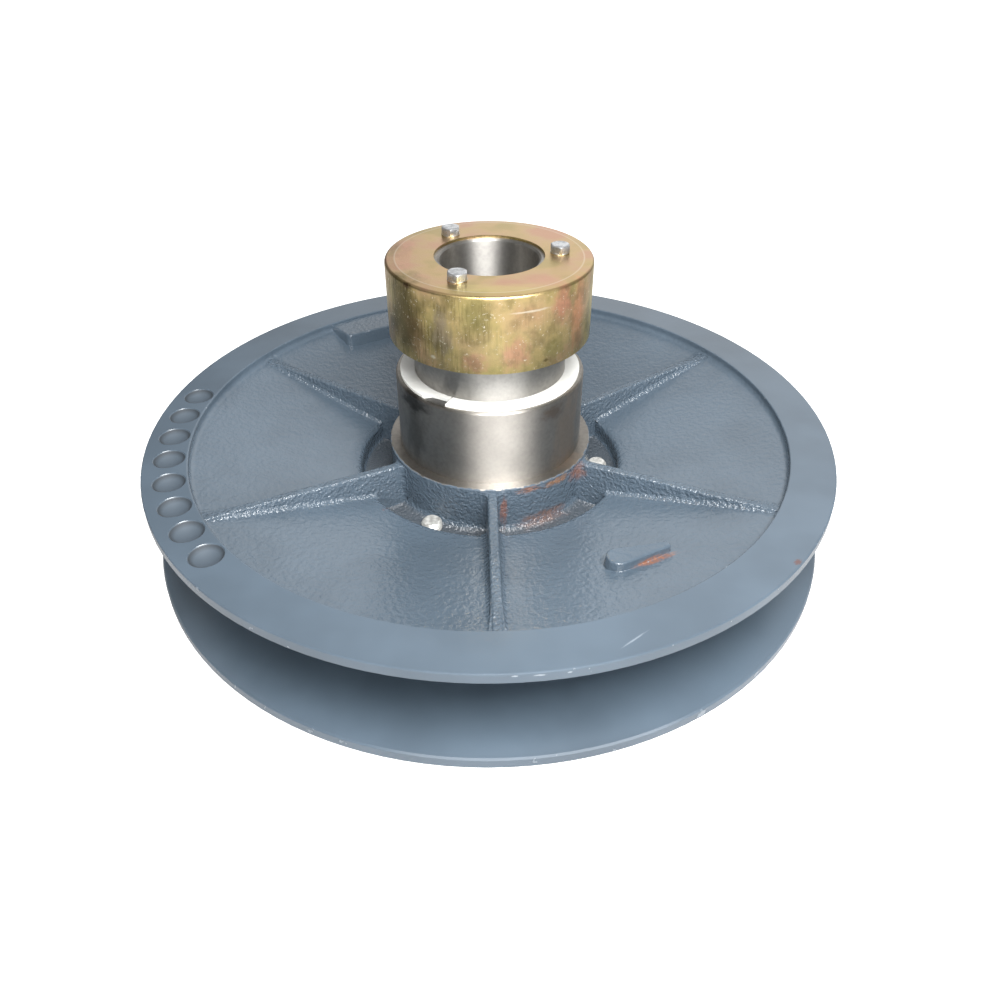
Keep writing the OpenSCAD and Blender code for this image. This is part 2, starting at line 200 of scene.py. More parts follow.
class StageSettings(bpy.types.PropertyGroup):
    """Camera and light."""

    lens: FloatProperty(name="Lens", description="Focal length", default=30.33, unit="CAMERA")
    camera_place: FloatVectorProperty(name="Camera place", description="Where the camera stands", size=3,
                                      default=(-7.66 * MM, -439.03 * MM, 334.65 * MM), subtype="TRANSLATION")
    pitch: FloatProperty(name="Pitch", description="How far the camera looks down",
                         default=math.radians(33.847), subtype="ANGLE")
    yaw: FloatProperty(name="Yaw", description="Turn of the view about the vertical",
                       default=math.radians(-1.806), subtype="ANGLE")
    roll: FloatProperty(name="Roll", description="Turn of the view about the line of sight",
                        default=math.radians(0.223), subtype="ANGLE")
    rise: FloatProperty(name="Rise", description="Shift of the frame, as a share of its width", default=-0.0521)
    sky: FloatProperty(name="Sky", description="Strength of the light from the ceiling", default=0.40)
    sides: FloatProperty(name="Sides", description="Strength of the light from the sides", default=0.10)
    beside: FloatProperty(name="Beside", description="Strength of the low wall on the right", default=0.22)
    backdrop: FloatProperty(name="Backdrop", description="Strength of the white wall behind", default=0.88)
    window: FloatProperty(name="Window", description="Power of the soft light above on the right, in watts",
                          default=10.0)
    front: FloatProperty(name="Front", description="Power of the low light behind the camera, in watts", default=13.0)
    glow: FloatProperty(name="Glow", description="How white the camera sees the floor without light", default=0.96)


def slate_enamel(name, settings, cast_side, rust, chips):
    """Slate grey enamel sprayed over cast iron: semi-gloss, level on the turned rims, pebbled where the sand
    left its grain and coarsest on the hub and ribs, with thin rust in a few corners and small pale chips."""
    material, tree, place = new_finish(name)
    radius, height, up = lie(tree, place)

    # Faces left as they came from the sand, and the coarse skin of the hub and the ribs
    inside = add(tree, "MapRange", {0: radius, 1: (RING_IN_R - 0.6) * MM, 2: (RING_IN_R + 0.6) * MM, 3: 1.0, 4: 0.0})
    side = add(tree, "MapRange", {0: up, 1: -0.6 * cast_side, 2: -0.4 * cast_side})
    cast = add(tree, "Math", {0: inside, 1: side}, operation="MULTIPLY")
    hub = add(tree, "MapRange", {0: radius, 1: (LIP_R + 1) * MM, 2: (LIP_R + 8) * MM, 3: 1.0, 4: 0.0})
    coarse = add(tree, "Math", {0: hub, 1: near_ribs(tree, place, 4)}, operation="MAXIMUM")
    coarse = add(tree, "Math", {0: coarse, 1: cast}, operation="MULTIPLY")

    # Enamel a little lighter and darker in clouds, deeper in the pits of the grain
    base = list(settings.enamel)
    deep = [c * 0.90 for c in base[:3]] + [1.0]
    pale = [c * 1.08 for c in base[:3]] + [1.0]
    clouds = grains(tree, place, 60, 0.35, 0.65)
    colour = add(tree, "Mix", {0: clouds, 6: deep, 7: pale}, 2, data_type="RGBA")

    # Darker grey on the flat floor of the sunk ring
    low = add(tree, "MapRange", {0: height, 1: (WELL_FLOOR + 1.5) * MM, 2: (WELL_FLOOR + 6) * MM, 3: 1.0, 4: 0.0})
    flat = add(tree, "MapRange", {0: up, 1: 0.5, 2: 0.9, 3: 0.0, 4: 0.55})
    dark_floor = add(tree, "Math", {0: low, 1: flat}, operation="MULTIPLY")
    dark_floor = add(tree, "Math", {0: dark_floor, 1: hub}, operation="MULTIPLY")
    colour = add(tree, "Mix", {0: dark_floor, 6: colour, 7: linear("#3E3D3C")}, 2, data_type="RGBA")

    # Painted shade in the balance drillings: the enamel darkened inside them, darkest under their edges
    sunk = within(tree, height, RIM_TOP - 4.6, RIM_TOP - 0.6, 0.4)
    ring = within(tree, radius, RING_IN_R + 1.5, RIM_R - 1.5, 0.5)
    in_drillings = add(tree, "Math", {0: sunk, 1: ring}, operation="MULTIPLY")
    shade_under_edges = add(tree, "MapRange", {0: height, 1: (RIM_TOP - 2.4) * MM, 2: (RIM_TOP - 1.0) * MM})
    painted_shade = add(tree, "Mix", {0: shade_under_edges, 6: [c * 0.72 for c in base[:3]] + [1.0],
                              7: [c * 0.32 for c in base[:3]] + [1.0]}, 2, data_type="RGBA")
    colour = add(tree, "Mix", {0: in_drillings, 6: colour, 7: painted_shade}, 2, data_type="RGBA")

    # Thin rust that bleeds through, broken up by the grain, and chips down to the pale primer
    fleck = grains(tree, place, 2.4, 0.20, 0.62, detail=5.0, rough=0.65)
    rusted = tinted(tree, place, colour, rust)
    colour = add(tree, "Mix", {0: fleck, 6: colour, 7: rusted}, 2, data_type="RGBA")
    colour = tinted(tree, place, colour, chips)

    # Edges of the rims pale in short runs: partly rubbed enamel, partly a painted highlight along the rounded edges
    edge = add(tree, "MapRange", {0: radius, 1: (RIM_R - 0.7) * MM, 2: (RIM_R - 0.2) * MM})
    # The inner edge of the rim is painted pale as a highlight of its glints
    brink = add(tree, "Math", {0: within(tree, radius, RING_IN_R - 0.5, RING_IN_R + 0.3, 0.3),
                               1: within(tree, height, RIM_TOP - 0.9, RIM_TOP + 1, 0.3)}, operation="MULTIPLY")
    edge = add(tree, "Math", {0: edge, 1: brink}, operation="MAXIMUM")
    rub_and_highlight = add(tree, "Math", {0: edge, 1: grains(tree, place, 6, 0.64, 0.76, detail=5.0)}, operation="MULTIPLY")
    rub_and_highlight = add(tree, "Math", {0: rub_and_highlight, 1: 0.3}, operation="MULTIPLY")
    colour = add(tree, "Mix", {0: rub_and_highlight, 6: colour, 7: linear("#B9C0C6")}, 2, data_type="RGBA")

    # Relief: sand grain under the enamel, and a faint orange peel all over
    pebbles = grains(tree, place, 2.8, 0.25, 0.75, detail=3.0)
    sand = grains(tree, place, 1.9, 0.30, 0.70, detail=2.0)
    skin = add(tree, "Math", {0: pebbles, 1: cast}, operation="MULTIPLY")
    sand = add(tree, "Math", {0: sand, 1: 1.9}, operation="MULTIPLY")
    skin = add(tree, "Math", {0: sand, 1: coarse, 2: skin}, operation="MULTIPLY_ADD")
    normal = add(tree, "Bump", {"Strength": 1.0, "Distance": 0.22 * MM, "Height": skin})
    peel = grains(tree, place, 7, 0.2, 0.8)
    normal = add(tree, "Bump", {"Strength": 1.0, "Distance": 0.03 * MM, "Height": peel, "Normal": normal})
    rougher_places = add(tree, "Math", {0: dark_floor, 1: rub_and_highlight}, operation="MAXIMUM")
    rougher_places = add(tree, "Math", {0: in_drillings, 1: 1.2, 2: rougher_places}, operation="MULTIPLY_ADD")
    gloss = add(tree, "MapRange", {0: cast, 3: 0.25, 4: 0.13})
    rough = add(tree, "Math", {0: rougher_places, 1: 0.4, 2: gloss}, operation="MULTIPLY_ADD")
    shader = add(tree, "BsdfPrincipled", {"Base Color": colour, "Roughness": rough, "Normal": normal, "IOR": 1.5,
                                          "Specular IOR Level": 0.75})
    add(tree, "OutputMaterial", {"Surface": shader})
    return material


def turned_metal(name, metal, enamel, stains_and_painted_light, sheen, overspray=None):
    """Bare metal from the lathe: fine rings around the axis that draw the light out along it, mottled by
    handling, with the given marks over it (oil stains, and on the journal painted light and shade), and a ragged edge
    of enamel where the overspray begins."""
    material, tree, place = new_finish(name)
    radius, height, up = lie(tree, place)
    base = list(metal)
    dull = [c * 0.62 for c in base[:3]] + [1.0]
    mottle = grains(tree, place, 2.2, 0.25, 0.80, detail=4.0, rough=0.55)
    cloud = grains(tree, place, 14, 0.35, 0.75)
    shade = add(tree, "Math", {0: mottle, 1: 0.35, 2: add(tree, "Math", {0: cloud, 1: 0.3}, operation="MULTIPLY")},
                operation="MULTIPLY_ADD")
    colour = add(tree, "Mix", {0: shade, 6: base, 7: dull}, 2, data_type="RGBA")
    colour = tinted(tree, place, colour, stains_and_painted_light)
    rings = grains(tree, place, 0.9, 0.2, 0.8, detail=1.0, stretch=(0.02, 0.02, 1))
    normal = add(tree, "Bump", {"Strength": 1.0, "Distance": 0.012 * MM, "Height": rings})
    rough = add(tree, "MapRange", {0: mottle, 3: sheen, 4: sheen + 0.10})
    inputs = {"Base Color": colour, "Metallic": 1.0, "Roughness": rough, "Normal": normal,
              "Anisotropic": 0.90, "Anisotropic Rotation": 0.25,
              "Tangent": add(tree, "Tangent", direction_type="RADIAL", axis="Z")}
    if overspray is not None:
        torn = grains(tree, place, 3, 0.2, 0.8)
        reach = add(tree, "Math", {0: torn, 1: 1.3 * MM, 2: radius}, operation="MULTIPLY_ADD")
        paint = add(tree, "MapRange", {0: reach, 1: overspray * MM, 2: (overspray + 0.5) * MM})
        inputs["Base Color"] = add(tree, "Mix", {0: paint, 6: colour, 7: list(enamel)}, 2, data_type="RGBA")
        inputs["Metallic"] = add(tree, "Math", {0: 1.0, 1: paint}, operation="SUBTRACT")
    shader = add(tree, "BsdfPrincipled", inputs)
    add(tree, "OutputMaterial", {"Surface": shader})
    return material


def white_nylon(settings):
    """Turned natural nylon: milky white and satin, with faint lathe rings, dark grey on the floor of its notch."""
    material, tree, place = new_finish("turned_white_nylon")
    radius, height, up = lie(tree, place)
    milk = grains(tree, place, 12, 0.3, 0.7)
    colour = add(tree, "Mix", {0: milk, 6: list(settings.nylon), 7: linear("#DCDCD7")}, 2, data_type="RGBA")
    # Dark grey on the upward faces low in the notch
    floor = within(tree, height, BUSH_TOP - 4, BUSH_TOP - 0.9, 0.3)
    facing = add(tree, "MapRange", {0: up, 1: 0.4, 2: 0.8})
    notch_dark = add(tree, "Math", {0: floor, 1: facing}, operation="MULTIPLY")
    colour = add(tree, "Mix", {0: notch_dark, 6: colour, 7: linear("#3B3A38")}, 2, data_type="RGBA")
    rings = grains(tree, place, 0.8, 0.2, 0.8, detail=1.0, stretch=(1, 1, 1))
    normal = add(tree, "Bump", {"Strength": 1.0, "Distance": 0.02 * MM, "Height": rings})
    shader = add(tree, "BsdfPrincipled", {
        "Base Color": colour, "Roughness": 0.42, "IOR": 1.53, "Normal": normal, "Subsurface Weight": 0.15,
        "Subsurface Radius": (1.0, 1.0, 0.9), "Subsurface Scale": 2 * MM})
    add(tree, "OutputMaterial", {"Surface": shader})
    return material


def yellow_zinc(settings):
    """Yellow passivated zinc on drawn sheet steel: gold with a bloom of peach, pink and green, finely scored
    up and down its side by the drawing die, scuffed by handling and darkest where the film is thick, with painted
    shade on the left of its side and painted highlights on its front and in a ring inside its top edge."""
    material, tree, place = new_finish("yellow_passivated_zinc")
    radius, height, up = lie(tree, place)
    top = add(tree, "MapRange", {0: up, 1: 0.5, 2: 0.8})
    side = add(tree, "Math", {0: 1.0, 1: top}, operation="SUBTRACT")

    bloom = grains(tree, place, 24, 0.32, 0.70, detail=2.0)
    tint = add(tree, "ValToRGB", {0: bloom})
    ramp = tint.node.color_ramp
    ramp.elements[0].color = linear("#B2A766")
    ramp.elements[1].color = linear("#CF9D84")
    for at, colour in ((0.35, list(settings.gold)), (0.65, linear("#CFB186"))):
        ramp.elements.new(at).color = colour
    colour = add(tree, "Mix", {0: 0.4, 6: tint, 7: linear("#D2AE88")}, 2, data_type="RGBA")
    drawn = add(tree, "Mix", {0: 0.5, 6: tint, 7: linear("#D2BA82")}, 2, data_type="RGBA")
    colour = add(tree, "Mix", {0: side, 6: colour, 7: drawn}, 2, data_type="RGBA")

    # Patches of the film on the side and top, as thick and thin places colour it, with painted shade and painted
    # highlights among them
    film = (
        # Dark olive on the left of the side: partly the film, partly painted shade
        ((-46, -32, 146), (34, 46, 60), 40, "#4F4626", 0.85),
        ((-52, 8, 146), (30, 50, 60), 0, "#6A5C32", 0.7),
        ((-26, -51, 144), (26, 14, 40), 25, "#847A80", 0.5),
        ((-8, -57, 152), (26, 10, 34), 0, "#8F8658", 0.6),
        # Painted highlight: pale gold low on the front of the side
        ((2, -57, 138), (18, 10, 20), 0, "#D9C489", 0.5),
        ((-9, -56, 130), (18, 12, 16), 0, "#DEA28C", 0.65),
        ((13, -56, 134), (22, 14, 26), -10, "#DEA28C", 0.65),
        ((37, -43, 158), (18, 18, 26), -45, "#E0A084", 0.8),
        ((34, -46, 133), (20, 18, 18), -45, "#A09C5C", 0.5),
        ((46, -34, 146), (16, 20, 60), 35, "#E2A67C", 0.85),
        ((55, -14, 146), (12, 20, 60), 10, "#C9BC78", 0.7),
        ((35, 45, 146), (40, 40, 40), 0, "#C9A070", 0.4),
        ((-20, 53, 142), (40, 20, 40), 0, "#B0A468", 0.5),
        # Painted highlight: pale gold on the front of the top
        ((6, -47, 166.9), (70, 16, 8), 0, "#DCCB86", 0.55),
        ((-46, 2, 166.9), (16, 50, 8), 0, "#D79E88", 0.45),
        ((28, -38, 166.9), (34, 16, 8), 30, "#DBA58C", 0.4),
    )
    colour = tinted(tree, place, colour, film)

    # Olive clouds in the film of the side
    murk = grains(tree, place, 9, 0.38, 0.72, detail=5.0, rough=0.6)
    murk = add(tree, "Math", {0: murk, 1: side}, operation="MULTIPLY")
    murk = add(tree, "Math", {0: murk, 1: 0.5}, operation="MULTIPLY")
    colour = add(tree, "Mix", {0: murk, 6: colour, 7: linear("#6E6640")}, 2, data_type="RGBA")

    # Scores of the die and a dark speckle in them, heaviest on the left
    east = add(tree, "SeparateXYZ", {0: place}, "X")
    heavy = add(tree, "MapRange", {0: east, 1: -50 * MM, 2: 25 * MM, 3: 0.75, 4: 0.12})
    scores = grains(tree, place, 1.2, 0.40, 0.72, detail=4.0, rough=0.65, stretch=(1, 1, 0.07))
    scored = add(tree, "Math", {0: scores, 1: side}, operation="MULTIPLY")
    scored = add(tree, "Math", {0: scored, 1: grains(tree, place, 13, 0.36, 0.60)}, operation="MULTIPLY")
    dark = add(tree, "Math", {0: scored, 1: heavy}, operation="MULTIPLY")
    colour = add(tree, "Mix", {0: dark, 6: colour, 7: linear("#5A4E2B")}, 2, data_type="RGBA")

    # Bright scuffs, a long scratch, a bare brown spot, and a painted highlight in a bright ring inside the top edge
    scuff = grains(tree, place, 2.0, 0.59, 0.66, detail=6.0, rough=0.8)
    scuff = add(tree, "Math", {0: scuff, 1: side}, operation="MULTIPLY")
    colour = add(tree, "Mix", {0: scuff, 6: colour, 7: linear("#EFE6CC")}, 2, data_type="RGBA")
    # Painted highlight: a bright ring inside the top edge
    ring = within(tree, radius, CUP_R - 5.7, CUP_R - 5.2, 0.3)
    ring = add(tree, "Math", {0: ring, 1: top}, operation="MULTIPLY")
    ring = add(tree, "Math", {0: ring, 1: 0.3}, operation="MULTIPLY")
    colour = add(tree, "Mix", {0: ring, 6: colour, 7: linear("#F6ECD6")}, 2, data_type="RGBA")
    handling = (
        ((20, -53, 157.5), (30, 7, 1.6), 20, "#F2E8D2", 0.7),
        ((-42.5, -37.5, 165), (9, 4, 4), -45, "#4A3420", 0.85),
        ((-30, -48, 130), (5, 4, 3), 30, "#EFE6CC", 0.8),
        ((28, -49, 128), (6, 4, 3), -30, "#5A4A2C", 0.7),
    )
    colour = tinted(tree, place, colour, handling)

    grit = grains(tree, place, 0.8, 0.2, 0.8)
    relief = add(tree, "Math", {0: scored, 1: 1.2, 2: grit}, operation="MULTIPLY_ADD")
    normal = add(tree, "Bump", {"Strength": 1.0, "Distance": 0.035 * MM, "Height": relief})
    rough = add(tree, "MapRange", {0: scored, 3: 0.30, 4: 0.46})
    shader = add(tree, "BsdfPrincipled", {"Base Color": colour, "Metallic": 1.0, "Roughness": rough,
                                          "Normal": normal})
    add(tree, "OutputMaterial", {"Surface": shader})
    return material


def bright_zinc(settings):
    """Bright zinc plate: cold white metal with a slightly cloudy sheen."""
    material, tree, place = new_finish("bright_zinc_plate")
    cloudy = grains(tree, place, 2.5, 0.3, 0.7)
    colour = add(tree, "Mix", {0: cloudy, 6: list(settings.zinc), 7: linear("#B7B9BB")}, 2, data_type="RGBA")
    rough = add(tree, "MapRange", {0: cloudy, 3: 0.26, 4: 0.40})
    grit = grains(tree, place, 0.7, 0.2, 0.8)
    normal = add(tree, "Bump", {"Strength": 1.0, "Distance": 0.02 * MM, "Height": grit})
    shader = add(tree, "BsdfPrincipled", {"Base Color": colour, "Metallic": 1.0, "Roughness": rough,
                                          "Normal": normal})
    add(tree, "OutputMaterial", {"Surface": shader})
    return material


def dull_zinc():
    """Zinc plate gone chalky on the screws' ends: pale grey, half metal and half white bloom."""
    material, tree, place = new_finish("dull_zinc_plate")
    bloom = grains(tree, place, 2.0, 0.3, 0.7, detail=4.0)
    colour = add(tree, "Mix", {0: bloom, 6: linear("#DAD9D4"), 7: linear("#B4B3AE")}, 2, data_type="RGBA")
    chalk = add(tree, "MapRange", {0: bloom, 3: 0.3, 4: 0.6})
    grit = grains(tree, place, 0.7, 0.2, 0.8)
    normal = add(tree, "Bump", {"Strength": 1.0, "Distance": 0.03 * MM, "Height": grit})
    shader = add(tree, "BsdfPrincipled", {"Base Color": colour, "Metallic": chalk, "Roughness": 0.42,
                                          "Normal": normal})
    add(tree, "OutputMaterial", {"Surface": shader})
    return material


def oiled_steel():
    """Machined steel under a film of old oil: dark, with brown streaks."""
    material, tree, place = new_finish("oiled_machined_steel")
    film = grains(tree, place, 15, 0.35, 0.7, detail=4.0)
    colour = add(tree, "Mix", {0: film, 6: linear("#6F6E6B"), 7: linear("#4A3F36")}, 2, data_type="RGBA")
    rough = add(tree, "MapRange", {0: film, 3: 0.3, 4: 0.5})
    grit = grains(tree, place, 1.2, 0.2, 0.8)
    normal = add(tree, "Bump", {"Strength": 1.0, "Distance": 0.02 * MM, "Height": grit})
    shader = add(tree, "BsdfPrincipled", {"Base Color": colour, "Metallic": 1.0, "Roughness": rough,
                                          "Normal": normal})
    add(tree, "OutputMaterial", {"Surface": shader})
    return material


def dress(node, finishes, choose=None):
    """Gives a node its finishes, the one that choose returns the number of on each face."""
    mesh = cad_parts[node].data
    mesh.materials.clear()
    for finish in finishes:
        mesh.materials.append(finish)
    for face in mesh.polygons:
        face.material_index = choose(face.center / MM) if choose else 0


def pick(piece, kind, chosen):
    """Enters edit mode with those vertices or faces selected that lie where chosen says."""
    bpy.ops.object.mode_set(mode="EDIT")
    bpy.ops.mesh.select_mode(type=kind)
    bpy.ops.mesh.select_all(action="DESELECT")
    bpy.ops.object.mode_set(mode="OBJECT")
    for part in piece.data.polygons if kind == "FACE" else piece.data.vertices:
        part.select = chosen(part.center if kind == "FACE" else part.co, part.normal)
    bpy.ops.object.mode_set(mode="EDIT")


def combine(piece, other, operation):
    """Joins a second body to a piece, cuts it out or keeps what they share, then removes that body and slivers."""
    bpy.ops.object.select_all(action="DESELECT")
    piece.select_set(True)
    bpy.context.view_layer.objects.active = piece
    step = piece.modifiers.new("combine", "BOOLEAN")
    step.operation, step.solver, step.object = operation, "EXACT", other
    bpy.ops.object.modifier_apply(modifier=step.name)
    bpy.data.objects.remove(other)
    pick(piece, "VERT", lambda at, normal: True)
    bpy.ops.mesh.remove_doubles(threshold=SLIVER)
    bpy.ops.mesh.dissolve_degenerate(threshold=SLIVER)
    bpy.ops.object.mode_set(mode="OBJECT")


def turned_blank(low, high, low_r, high_r, sides=48):
    """Round or six-sided body on the axis between two heights, straight or tapered, in metres."""
    bpy.ops.object.select_all(action="DESELECT")
    bpy.ops.mesh.primitive_cone_add(vertices=sides, radius1=low_r, radius2=high_r, depth=high - low,
                                    location=(0, 0, (low + high) / 2))
    bpy.ops.object.transform_apply(location=True)
    return bpy.context.object


def cut_thread(diameter, pitch, low, high):
    """Threaded rod on the axis: one notch of the thread wound up along a helix, cut off square at both ends."""
    depth = 0.61 * pitch
    bpy.ops.object.select_all(action="DESELECT")
    bpy.ops.mesh.primitive_circle_add(vertices=3, radius=pitch / math.sqrt(3), rotation=(math.pi / 2, math.pi / 2, 0))
    rod = bpy.context.object
    bpy.ops.object.transform_apply(rotation=True)
    pick(rod, "VERT", lambda at, normal: at.x < 0)
    bpy.ops.mesh.delete(type="EDGE_FACE")
    bpy.ops.mesh.select_all(action="SELECT")
    bpy.ops.transform.resize(value=(depth / (1.5 * pitch / math.sqrt(3)), 1, 1), center_override=(0, 0, 0))
    bpy.ops.transform.translate(value=(diameter / 2 - 2 * depth / 3, 0, low - pitch))
    bpy.ops.object.mode_set(mode="OBJECT")
    wind = rod.modifiers.new("wind", "SCREW")
    wind.axis, wind.angle, wind.screw_offset = "Z", 2 * math.pi, pitch
    wind.steps = wind.render_steps = 32
    wind.iterations = math.ceil((high - low) / pitch) + 2
    bpy.ops.object.modifier_apply(modifier=wind.name)
    pick(rod, "VERT", lambda at, normal: True)
    bpy.ops.mesh.remove_doubles(threshold=0.001 * MM)
    bpy.ops.mesh.bisect(plane_co=(0, 0, low), plane_no=(0, 0, 1), use_fill=True, clear_inner=True)
    bpy.ops.mesh.select_all(action="SELECT")
    bpy.ops.mesh.bisect(plane_co=(0, 0, high), plane_no=(0, 0, 1), use_fill=True, clear_outer=True)
    bpy.ops.mesh.select_all(action="SELECT")
    bpy.ops.mesh.normals_make_consistent(inside=False)
    bpy.ops.object.mode_set(mode="OBJECT")
    return rod


def soften(piece, width, angle):
    """Rounds the sharp edges of a piece by a width and smooths what is left between them."""
    bpy.ops.object.select_all(action="DESELECT")
    piece.select_set(True)
    bpy.context.view_layer.objects.active = piece
    round_off = piece.modifiers.new("round_off", "BEVEL")
    round_off.width, round_off.segments = width, 2
    round_off.limit_method, round_off.angle_limit = "ANGLE", math.radians(angle)
    bpy.ops.object.modifier_apply(modifier=round_off.name)
    bpy.ops.object.shade_smooth_by_angle(angle=math.radians(angle))


def set_around(piece, name, count, start, circle, turn, body, node, finish):
    """Copies of a piece at equal angles on a circle around the axis, in place of a node."""
    for i in range(count):
        copy = piece.copy()
        copy.data = piece.data.copy()
        copy.name = copy.data.name = f"{name}_{i + 1}"
        bpy.context.scene.collection.objects.link(copy)
        angle = start + 2 * math.pi * i / count
        place = Matrix.Rotation(angle, 4, "Z") @ Matrix.Translation((circle, 0, 0)) @ Matrix.Rotation(turn, 4, "Z")
        copy.data.transform(place)
        copy.data.materials.clear()
        copy.data.materials.append(finish)
        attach(copy, body)
        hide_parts(node)
    bpy.data.objects.remove(piece)


class PULLEY_OT_enamel_castings(bpy.types.Operator):
    """Enamel both castings and leave their turned surfaces bare"""

    bl_idname = "pulley.enamel_castings"
    bl_label = "Enamel castings"

    def execute(self, context):
        settings = context.scene.pulley_finish
        rust = (
            ((21, -57.5, 50), (34, 14, 6), -20, "#8A6048", 0.75),
            ((38, -49, 49), (26, 14, 7), 38, "#94683F", 0.8),
            ((50, -36, 46), (20, 14, 14), 54, "#84563F", 0.7),
            ((30, -54, 28), (46, 16, 11), 28, "#745648", 0.75),
            ((6.5, -62, 37), (6, 12, 26), 0, "#84523A", 0.75),
            ((7, -70, 30), (9, 20, 12), 0, "#745648", 0.7),
            ((-60, -55, 44), (12, 12, 16), 30, "#9A5A3A", 0.9),
            ((81.3, -118.7, 50.2), (36, 7.5, 5), 18, "#96603F", 0.75),
        )
        chips = (
            ((18.9, -171.4, 62.7), (12, 3, 3), -10, "#AEB7BF", 0.5),
            ((59, -184, 62.7), (20, 1.2, 3), 37, "#96A1AB", 0.45),
            ((146.1, -136.1, 62.7), (7, 4, 3), 43, "#5B3B33", 0.8),
            ((-188.7, 70.6, 62.7), (5, 4, 3), 0, "#3A444E", 0.8),
            ((6.4, -201.9, 61.3), (4, 3, 1.4), 0, "#B4BDC5", 0.5),
            ((16.9, -201.3, 61.0), (7, 3, 1.4), 5, "#B4BDC5", 0.5),
            ((29.6, -199.8, 60.8), (3, 3, 1.4), 8, "#B4BDC5", 0.45),
        )
        moving = slate_enamel("slate_enamel_on_moving_casting", settings, 1, rust, chips)
        fixed = slate_enamel("slate_enamel_on_fixed_casting", settings, -1, (), ())
        stains_and_painted_light = (
            # Lighter brown on the right front: partly an oil stain, partly a painted sheen
            ((44, -33, 70), (34, 44, 80), 50, "#C6B4A2", 0.7),
            # Darker grey on the left front: painted shade
            ((-44, -33, 74), (24, 24, 60), 40, "#5E5A55", 0.5),
            ((20, 52, 70), (60, 20, 40), 0, "#7D6A58", 0.4),
            # Near black band high on the left front, just under the bush
            ((-44, -32, 94), (40, 34, 16), 40, "#2E2B28", 0.75),
            ((34, -43, 92), (22, 20, 12), 50, "#7E6654", 0.5),
        )
        iron = turned_metal("turned_cast_iron", settings.iron, settings.enamel, stains_and_painted_light, 0.42, SHOULDER_R)
        steel = turned_metal("turned_steel", settings.steel, settings.enamel, (), 0.38)
        bored = turned_metal("bored_steel", [c * 0.95 for c in settings.steel], settings.enamel, (), 0.50)

        def moving_faces(at):
            return 1 if at.z > SHOULDER_Z - 1 and math.hypot(at.x, at.y) < SHOULDER_R + 0.5 else 0

        def fixed_faces(at):
            radius = math.hypot(at.x, at.y)
            return 2 if radius < BORE_R + 0.2 else 1 if radius < TUBE_R + 0.2 else 0

        dress("moving_sheave", (moving, iron), moving_faces)
        dress("fixed_sheave", (fixed, steel, bored), fixed_faces)
        return {"FINISHED"}


class PULLEY_OT_finish_bushes(bpy.types.Operator):
    """Finish both nylon bushes"""

    bl_idname = "pulley.finish_bushes"
    bl_label = "Finish bushes"

    def execute(self, context):
        nylon = white_nylon(context.scene.pulley_finish)
        dress("upper_bush", (nylon,))
        dress("lower_bush", (nylon,))
        return {"FINISHED"}


class PULLEY_OT_plate_cup(bpy.types.Operator):
    """Passivate the end cup and oil the drive ring"""

    bl_idname = "pulley.plate_cup"
    bl_label = "Plate cup"

    def execute(self, context):
        dress("end_cup", (yellow_zinc(context.scene.pulley_finish),))
        dress("drive_ring", (oiled_steel(),))
        return {"FINISHED"}


class PULLEY_OT_make_cup_screws(bpy.types.Operator):
    """Make the hexagon screws of the cup"""

    bl_idname = "pulley.make_cup_screws"
    bl_label = "Make cup screws"

    def execute(self, context):
        sizes = context.scene.pulley_screws
        flats = 5 / 3 * sizes.cup_d
        corner_r = flats / math.sqrt(3)
        low, seat = CUP_SCREW_LOW * MM, CUP_TOP * MM
        washer = seat + 0.7 * MM
        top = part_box("cup_screws")[1].z
        head = turned_blank(washer - 0.45 * MM, top, corner_r, corner_r, 6)
        pick(head, "VERT", lambda at, normal: True)
        bpy.ops.transform.rotate(value=math.radians(-30), orient_axis="Z", center_override=(0, 0, 0))
        bpy.ops.object.mode_set(mode="OBJECT")
        slope = 1 / math.tan(math.radians(30))
        cone_low, cone_high = washer - 2 * MM, top + MM
        combine(head, turned_blank(cone_low, cone_high, 0.46 * flats + slope * (top - cone_low),
                                   0.46 * flats - slope * (cone_high - top)), "INTERSECT")
        soften(head, 0.16 * MM, 25)
        pick(head, "FACE", lambda at, normal: normal.z > 0.99 and at.z > top - 0.05 * MM)
        bpy.ops.mesh.inset(thickness=1.1 * MM)
        bpy.ops.transform.translate(value=(0, 0, -0.18 * MM))
        bpy.ops.object.mode_set(mode="OBJECT")
        flange = turned_blank(seat, washer, 0.53 * flats, 0.53 * flats)
        soften(flange, 0.15 * MM, 40)
        combine(head, flange, "UNION")
        combine(head, cut_thread(sizes.cup_d, MM, low, seat + 0.3 * MM), "UNION")
        bpy.ops.object.shade_smooth_by_angle(angle=math.radians(30))
        zinc = bright_zinc(context.scene.pulley_finish)
        set_around(head, "cup_screw", 3, sizes.cup_start, sizes.cup_circle, sizes.cup_turn, "fixed_half",
                   "cup_screws", zinc)
        return {"FINISHED"}


